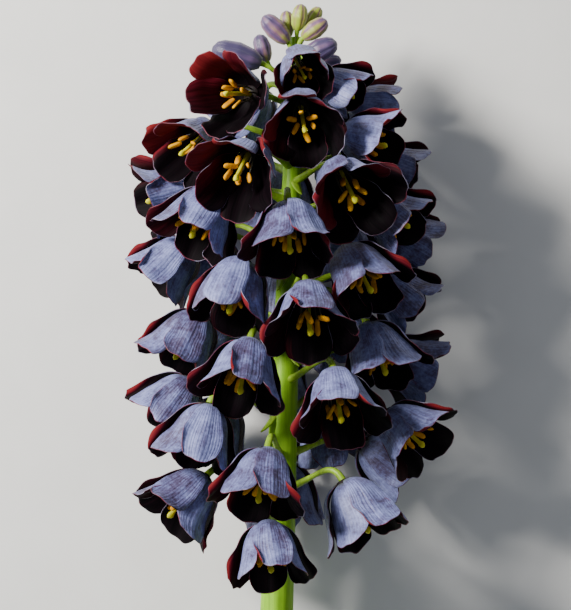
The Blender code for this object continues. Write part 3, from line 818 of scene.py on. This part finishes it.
def shape_heart(first_turn, draw):
    """The pattern's points in mm along a bell's axis, with every stamen leaning its own way."""
    points = np.zeros_like(ball_points)
    for i, kind in enumerate(kinds):
        mine = piece_of == i
        ball = ball_points[mine]
        if kind == "style":
            t, x, y = round_run(ball, STYLE_RADIUS)
            angle = np.arctan2(y, x)
            swell = 1 + 0.5 * np.exp(-((t / 0.25) ** 2))
            lobes = STIGMA_SWELL + STIGMA_LOBES * np.cos(3 * angle)
            swell = swell + np.exp(-(((t - STIGMA_AT) / STIGMA_LENGTH) ** 2)) * lobes
            bow = draw.uniform(-STYLE_BOW, STYLE_BOW) * t**2
            depth = STYLE_FOOT + (STYLE_LENGTH - STYLE_FOOT) * t
            points[mine] = np.stack((x * swell + bow, y * swell, depth), 1)
            continue
        if kind == "cup":
            points[mine] = ball * (CUP_RADIUS, CUP_RADIUS, CUP_DEPTH) + (0, 0, CUP_MIDDLE)
            continue
        if kind == "anther":
            turn = first_turn + (i // 2) * math.pi / 3 + draw.uniform(-ANTHER_TURN, ANTHER_TURN)
            out = np.array((math.sin(turn), math.cos(turn), 0))
            side = np.array((math.cos(turn), -math.sin(turn), 0))
            up = np.array((0, 0, 1.0))
            away = ANTHER_OUT * draw.uniform(*ANTHER_SPREAD)
            depth = ANTHER_DEPTH + draw.uniform(*ANTHER_RISE)
            lean = math.radians(draw.uniform(*ANTHER_LEAN))
            sway = math.radians(draw.uniform(-ANTHER_SWAY, ANTHER_SWAY))
            long_way = up * math.cos(lean) + out * math.sin(lean)
            long_way = long_way * math.cos(sway) + side * math.sin(sway)
            broad_way = np.cross(long_way, out)
            broad_way /= np.linalg.norm(broad_way)
            thin_way = np.cross(broad_way, long_way)
            middle = out * away + up * depth
            across = np.maximum(np.hypot(ball[:, 0], ball[:, 1]), 0.001)
            wide = ANTHER_RADIUS * np.minimum(1, across * BLUNT_END) / across
            groove = 1 - ANTHER_GROOVE * np.exp(-((ball[:, 0] / 0.3) ** 2))
            points[mine] = (
                middle
                + np.outer(ball[:, 2] * ANTHER_LENGTH / 2, long_way)
                + np.outer(ball[:, 0] * wide, broad_way)
                + np.outer(ball[:, 1] * wide * 0.75 * groove, thin_way)
            )
            continue
        t, x, y = round_run(ball, FILAMENT_RADIUS)
        foot = out * FILAMENT_FOOT + up * 0.9
        head = middle - thin_way * 0.3 - long_way * 0.8
        bow = np.outer(np.sin(math.pi * t) * 0.5, out)
        taper = 1.25 - 0.5 * t
        points[mine] = foot + np.outer(t, head - foot) + bow
        points[mine] += np.outer(x * taper, side) + np.outer(y * taper, out)
    return points


for name, flower in sorted(flowers.items()):
    if not name.startswith("bell"):
        continue
    draw = random.Random(name + " heart")
    points = shape_heart(flower["tepals"][0][0], draw) * flower["size"]
    points = points @ np.array(flower["turned"]).T + np.array(flower["root"])
    heart = heart_pattern.copy()
    heart.data = heart_pattern.data.copy()
    heart.name = name + "_heart"
    heart.data.name = heart.name
    scene.collection.objects.link(heart)
    heart.matrix_world = Matrix.Identity(4)
    heart.data.vertices.foreach_set("co", (points * MM).ravel())
    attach(heart, "root")
bpy.data.objects.remove(heart_pattern)


# The buds
# Closed flowers at the tip, each a tight spindle of six ribbed tepals with grooves between them. The
# lowest are ripe and purple, and the highest still yellow-green with mauve ribs.
BUD_OUTLINE = ((0, 0.4), (0.08, 0.6), (0.2, 0.82), (0.5, 1.0), (0.8, 0.84), (0.93, 0.58), (1, 0.12))
BUD_SEGMENTS, BUD_RINGS = 48, 24
BUD_GROOVE, BUD_GROOVE_WIDTH = 0.1, 0.22
BUD_TWIST = 0.25
MEAN_BUD_LENGTH = 10
RIPE_BELOW, GREEN_ABOVE = 214.0, 231.0
RIPER_PER_MM = 0.08


def bud_skin():
    """Green at the base and in the grooves, and mauve on the ribs, more so on a ripe bud."""
    material, shader, add, link = plain_material("bud skin", 0.42)
    sheet = add("UVMap", uv_map="UVMap")
    place = add("TexCoord")
    parts = add("SeparateXYZ")
    link(sheet.outputs["UV"], parts.inputs["Vector"])
    around = add("Math", operation="MULTIPLY")
    around.inputs[1].default_value = 6 * 2 * math.pi
    link(parts.outputs["X"], around.inputs[0])
    rib = add("Math", operation="COSINE")
    link(around.outputs[0], rib.inputs[0])
    clouds = add("TexNoise", Scale=260, Detail=4)
    link(place.outputs["Object"], clouds.inputs["Vector"])
    stretch = add("Mapping")
    stretch.inputs["Scale"].default_value = (60, 3, 1)
    link(sheet.outputs["UV"], stretch.inputs["Vector"])
    streaks = add("TexNoise", Scale=1.6, Detail=4)
    link(stretch.outputs["Vector"], streaks.inputs["Vector"])
    ripe = add("Attribute", attribute_name="ripe")

    total = weigh(add, link, ripe.outputs["Fac"], rib.outputs[0], 0.2)
    total = weigh(add, link, total, parts.outputs["Y"], 0.5)
    total = weigh(add, link, total, clouds.outputs["Fac"], 0.5)
    total = weigh(add, link, total, streaks.outputs["Fac"], 0.8)
    spread = add("MapRange", clamp=True)
    spread.inputs["From Min"].default_value = 0.76
    spread.inputs["From Max"].default_value = 1.85
    link(total, spread.inputs["Value"])
    tone = ramp(
        add,
        (0.0, (0.30, 0.40, 0.02)),
        (0.30, (0.27, 0.26, 0.05)),
        (0.46, (0.21, 0.10, 0.13)),
        (0.70, (0.108, 0.062, 0.145)),
        (1.0, (0.047, 0.036, 0.092)),
    )
    link(spread.outputs["Result"], tone.inputs["Fac"])
    link(tone.outputs["Color"], shader.inputs["Base Color"])
    lines = add("Bump", Strength=0.4, Distance=0.0004)
    link(streaks.outputs["Fac"], lines.inputs["Height"])
    link(lines.outputs["Normal"], shader.inputs["Normal"])
    shader.inputs["Sheen Weight"].default_value = 0.15
    shader.inputs["Sheen Tint"].default_value = (0.85, 0.85, 1.0, 1)
    return material


bud_mauve = bud_skin()
for name, flower in sorted(flowers.items()):
    if not name.startswith("bud"):
        continue
    draw = random.Random(name)
    own = flower["own"]
    length = max(point.z for point in own)
    girth = 2 * max(math.hypot(point.x, point.y) for point in own)
    bpy.ops.object.select_all(action="DESELECT")
    bpy.ops.mesh.primitive_uv_sphere_add(segments=BUD_SEGMENTS, ring_count=BUD_RINGS, radius=1)
    bud = bpy.context.active_object
    bud.name = name + "_fine"
    bud.data.name = bud.name
    heights, shares = zip(*BUD_OUTLINE)
    twist = draw.uniform(-BUD_TWIST, BUD_TWIST)
    for vert in bud.data.vertices:
        t = (vert.co.z + 1) / 2
        around = math.atan2(vert.co.y, vert.co.x)
        from_groove = abs((around * 3 / math.pi) % 1 - 0.5) * 2
        groove = BUD_GROOVE * math.exp(-(((1 - from_groove) / BUD_GROOVE_WIDTH) ** 2))
        groove *= min(t * 5, 1)
        wide = float(np.interp(t, heights, shares)) * girth / 2 * (1 - groove)
        if math.hypot(vert.co.x, vert.co.y) < 0.001:
            wide = 0
        around += twist * t
        own_point = Vector((math.cos(around) * wide, math.sin(around) * wide, t * length))
        vert.co = (flower["root"] + flower["turned"] @ own_point) * MM
    along = flower["root"].y - stem_line.y
    ripe = (GREEN_ABOVE - along) / (GREEN_ABOVE - RIPE_BELOW)
    ripe += (length - MEAN_BUD_LENGTH) * RIPER_PER_MM
    values = [min(max(ripe, 0), 1)] * len(bud.data.vertices)
    bud.data.attributes.new("ripe", "FLOAT", "POINT").data.foreach_set("value", values)
    bud.data.materials.append(bud_mauve)
    bpy.ops.object.shade_smooth()
    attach(bud, "root")
    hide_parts(name)


# The floor and the light
# The spike lies on a plain pale matte floor. One soft light stands at the upper left, and a weak
# bluish light comes from all round.
KEY_POWER, KEY_SIZE, KEY_AWAY = 21, 0.22, 0.9
SKY_STRENGTH = 0.32
bpy.ops.object.select_all(action="DESELECT")
bpy.ops.mesh.primitive_plane_add(size=6)
floor = bpy.context.active_object
floor.name = "floor"
floor_paper, shader, add, link = plain_material("floor paper", 0.9)
grain = add("TexNoise", Scale=40, Detail=3)
tone = ramp(add, (0.3, (0.70, 0.70, 0.68)), (0.7, (0.74, 0.74, 0.72)))
place = add("TexCoord")
link(place.outputs["Object"], grain.inputs["Vector"])
link(grain.outputs["Fac"], tone.inputs["Fac"])
link(tone.outputs["Color"], shader.inputs["Base Color"])
floor.data.materials.append(floor_paper)

world = bpy.data.worlds.new("studio")
world.use_nodes = True
world.node_tree.nodes["Background"].inputs["Color"].default_value = (0.85, 0.9, 1.0, 1)
world.node_tree.nodes["Background"].inputs["Strength"].default_value = SKY_STRENGTH
scene.world = world

key = bpy.data.objects.new("key", bpy.data.lights.new("key", "AREA"))
key.data.energy = KEY_POWER
key.data.size = KEY_SIZE
key.data.color = (1.0, 0.97, 0.92)
key.location = SUN * KEY_AWAY
key.rotation_euler = SUN.to_track_quat("Z", "Y").to_euler()
scene.collection.objects.link(key)
